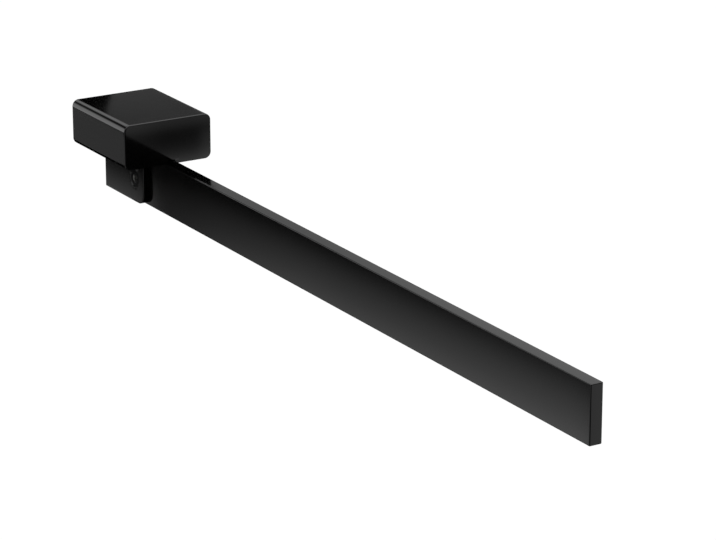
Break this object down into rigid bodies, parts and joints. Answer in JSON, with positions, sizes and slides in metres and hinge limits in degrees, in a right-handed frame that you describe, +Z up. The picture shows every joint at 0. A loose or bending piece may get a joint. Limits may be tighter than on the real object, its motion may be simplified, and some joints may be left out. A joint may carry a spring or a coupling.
{
  "type": "single towel bar",
  "caption": "Wall-mounted towel bar with a fixed flat arm on edge, held in a forked holder under a rounded rectangular cover, in gloss black.",
  "frame": {"origin": "on the wall plane, midway between the two wall screw holes, in the bar's centre plane", "axes": "+Z up, +Y into the wall, so the bar points along -Y, and +X to the right of someone facing the wall"},
  "size_m": [0.05, 0.445, 0.05],
  "materials": {
    "gloss_black": "high-gloss black stove enamel on metal",
    "black_screw": "black-coated steel screw",
    "plate_steel": "punched stainless steel sheet",
    "screw_steel": "stainless steel fastener",
    "carrier_casting": "raw die casting"
  },
  "bodies": {
    "root": {"wall_plate": "plate_steel", "carrier": "carrier_casting", "carrier_screws": "screw_steel", "lock_washers": "screw_steel", "holder": "gloss_black", "holder_screws": "screw_steel", "bar": "gloss_black", "bar_screw": "black_screw", "cover": "gloss_black", "cover_grub_screws": "black_screw"}
  },
  "joints": []
}
